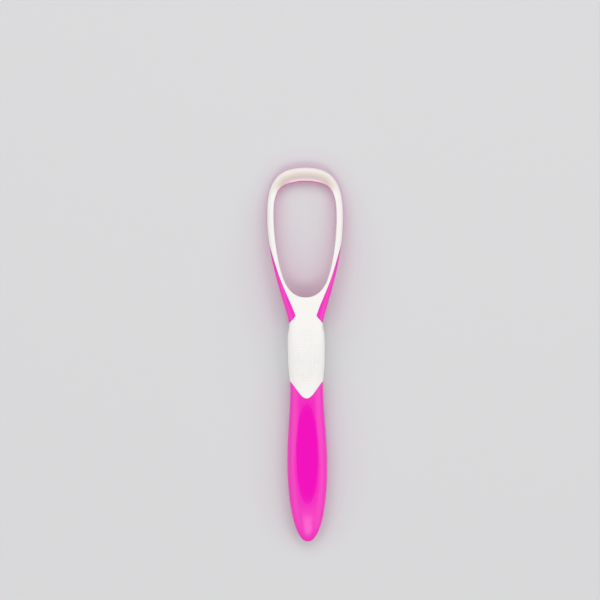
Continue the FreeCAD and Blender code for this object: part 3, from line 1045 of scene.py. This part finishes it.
shade_and_pink_ramp = node_of(tree, "ShaderNodeValToRGB")
for _ in shade_and_pink_stops[2:]:
    shade_and_pink_ramp.color_ramp.elements.new(0.5)
for element, (position, colour) in zip(shade_and_pink_ramp.color_ramp.elements, shade_and_pink_stops):
    element.position = position
    element.color = colour
link(tree,
     (shade_and_pink.outputs["Fac"], shade_and_pink_ramp.inputs["Fac"]),
     (shade_and_pink_ramp.outputs["Color"], texture.inputs["Colour"]))
soft_moulding.data.materials.append(white_finish)
thumb_nubs.data.materials.append(white_finish)
print(white_finish.name, "is on", soft_moulding.name, "and", thumb_nubs.name)

# %% [markdown]
# The tool lies on a plain pale grey floor, so that the white rim still stands out from it. The floor is
# part of the stage and has a simple matt finish of its own.

# %% Floor
floor_half, floor_drop = 2.5, 0.05 * MM
floor_mesh = bpy.data.meshes.new("floor")
floor_corners = np.array([[-1, -1], [1, -1], [1, 1], [-1, 1]]) * floor_half
floor_mesh.from_pydata(np.c_[floor_corners, np.full(4, -floor_drop)], [], [(0, 1, 2, 3)])
floor = bpy.data.objects.new("floor", floor_mesh)
bpy.context.scene.collection.objects.link(floor)
floor_finish = bpy.data.materials.new("pale floor")
floor_finish.use_nodes = True
set_sockets(floor_finish.node_tree.nodes["Principled BSDF"],
            {"Base Color": (0.68, 0.68, 0.69, 1), "Roughness": 0.8, "Specular IOR Level": 0.2})
floor_mesh.materials.append(floor_finish)
print("floor", 2 * floor_half, "m square, just under the tool's rest faces")

# %% [markdown]
# Large soft lamps stand round the tool at mid height and none hangs straight above it, so the flat face
# of the handle shows its own colour while the rounded flanks catch broad, pale reflections.

# %% Softboxes
def softbox(name, azimuth, elevation, power, width, height, distance=0.9):
    """Rectangular lamp on a sphere round the tool, at angles in degrees, turned to face it."""
    lamp = bpy.data.lights.new(name, "AREA")
    lamp.shape = "RECTANGLE"
    lamp.size, lamp.size_y = width, height
    lamp.energy = power
    stand = bpy.data.objects.new(name, lamp)
    a, e = math.radians(azimuth), math.radians(elevation)
    level = distance * math.cos(e)
    stand.location = (level * math.cos(a), level * math.sin(a), distance * math.sin(e))
    stand.rotation_euler = (math.pi / 2 - e, 0, a + math.pi / 2)
    stand.visible_camera = False
    bpy.context.scene.collection.objects.link(stand)
    print(name, power, "W from", azimuth, "degrees,", elevation, "degrees up")


softbox("loop softbox", azimuth=90, elevation=50, power=2.5, width=0.9, height=0.6)
softbox("left softbox", azimuth=180, elevation=38, power=2.2, width=1.2, height=0.8)
softbox("right softbox", azimuth=0, elevation=38, power=2.5, width=1.2, height=0.8)
softbox("handle softbox", azimuth=270, elevation=60, power=1.4, width=0.4, height=0.3)

# %% [markdown]
# A plain, dim world fills the shadows. Straight above it is darker still, so that the flat front of the
# handle mirrors hardly anything and keeps its deep colour.

# %% World
world = bpy.data.worlds.new("studio")
world.use_nodes = True
bpy.context.scene.world = world
sky = world.node_tree
direction = node_of(sky, "ShaderNodeTexCoord")
parts = node_of(sky, "ShaderNodeSeparateXYZ")
darker_above = node_of(sky, "ShaderNodeMapRange",
                       {"From Min": 0.88, "From Max": 0.97, "To Min": 0.50, "To Max": 0.04},
                       interpolation_type="SMOOTHSTEP")
background = sky.nodes["Background"]
set_sockets(background, {"Color": (1, 1, 1, 1)})
link(sky,
     (direction.outputs["Generated"], parts.inputs["Vector"]),
     (parts.outputs["Z"], darker_above.inputs["Value"]),
     (darker_above.outputs["Result"], background.inputs["Strength"]))
bpy.context.scene.view_settings.view_transform = "Standard"
print("a dim world, darker straight above")

# %% [markdown]
# The photograph looks straight down on the tool from far away. A long lens high above does the same, a
# little to one side and turned by half a degree, which is how the tool lies in it.

# %% Camera
frame_width, camera_height, subject_height = 258.0 * MM, 1.2, 6 * MM
camera_x, camera_y, camera_turn, sensor_width = -2.5 * MM, 23.5 * MM, -0.52, 36.0
camera_data = bpy.data.cameras.new("camera")
camera_data.sensor_width = sensor_width
camera_data.lens = sensor_width * (camera_height - subject_height) / frame_width
camera_data.clip_end = 20.0
camera = bpy.data.objects.new("camera", camera_data)
camera.location = (camera_x, camera_y, camera_height)
camera.rotation_euler = (0, 0, math.radians(camera_turn))
bpy.context.scene.collection.objects.link(camera)
bpy.context.scene.camera = camera
print("lens", round(camera_data.lens, 1), "mm at", camera_height, "m")
